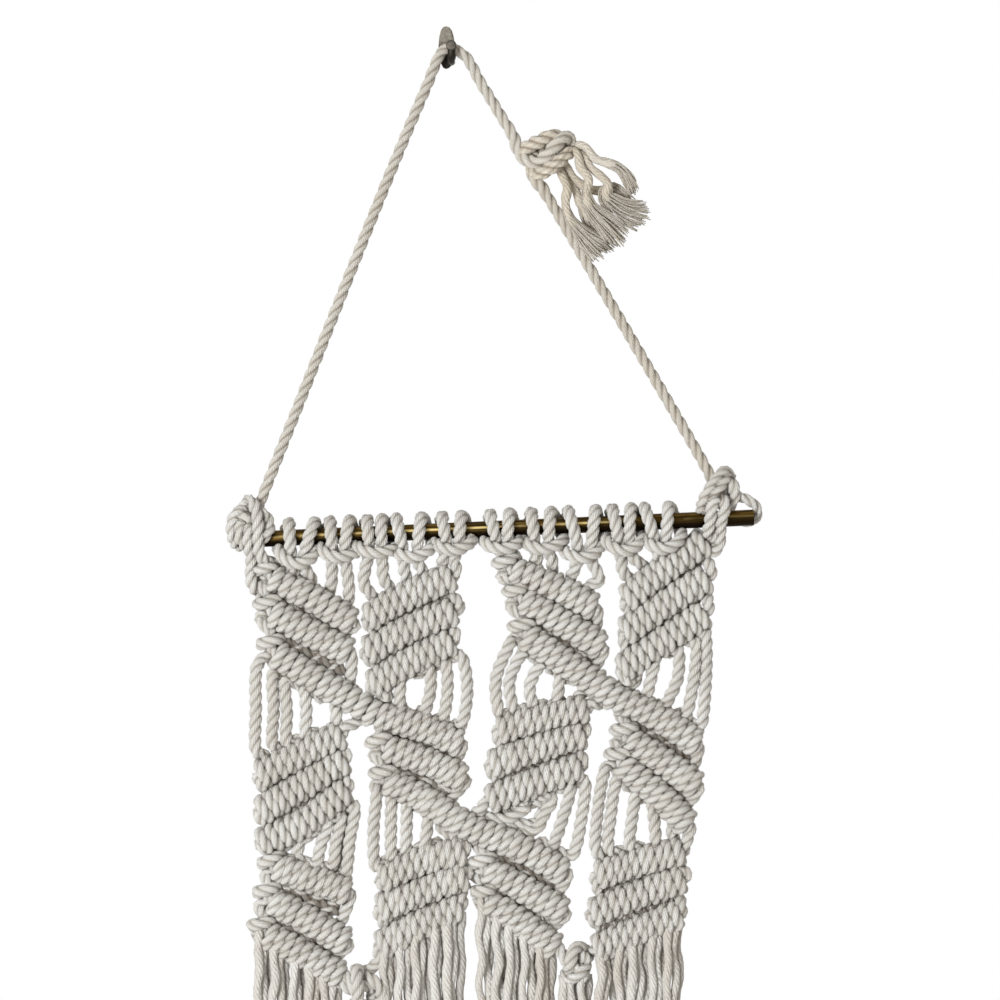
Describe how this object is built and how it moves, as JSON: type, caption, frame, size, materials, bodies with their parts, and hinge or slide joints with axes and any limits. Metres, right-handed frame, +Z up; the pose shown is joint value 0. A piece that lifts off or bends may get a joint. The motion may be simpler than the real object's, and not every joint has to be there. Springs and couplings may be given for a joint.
{
  "type": "macrame wall hanging on a brass rod and wall hook",
  "caption": "Knotted cotton rope panel with leaf-shaped rows of hitches and a long fringe, hung by a rope from a metal rod and a wall hook",
  "frame": {"origin": "centre of the back face of the wall hook's plate, on the wall", "axes": "+Z up, +Y into the wall, +X to the viewer's right; the hanging lies at negative Y"},
  "size_m": [0.316, 0.0282, 0.7748],
  "materials": {
    "dark_metal": "satin dark metal",
    "brass": "antiqued, with bright rubbed streaks",
    "rope": "laid cotton rope, matte",
    "knotted_cotton": "laid cotton rope, matte",
    "fringe_cotton": "soft unlaid plies, matte"
  },
  "bodies": {
    "root": {"wall_hook": "dark_metal", "brass_rod": "brass", "hanging_cord_left": "rope", "hanging_cord_right": "rope", "tie_knot": "rope", "knotted_cords": "knotted_cotton", "fringe_left": "fringe_cotton", "fringe_right": "fringe_cotton"}
  },
  "joints": []
}
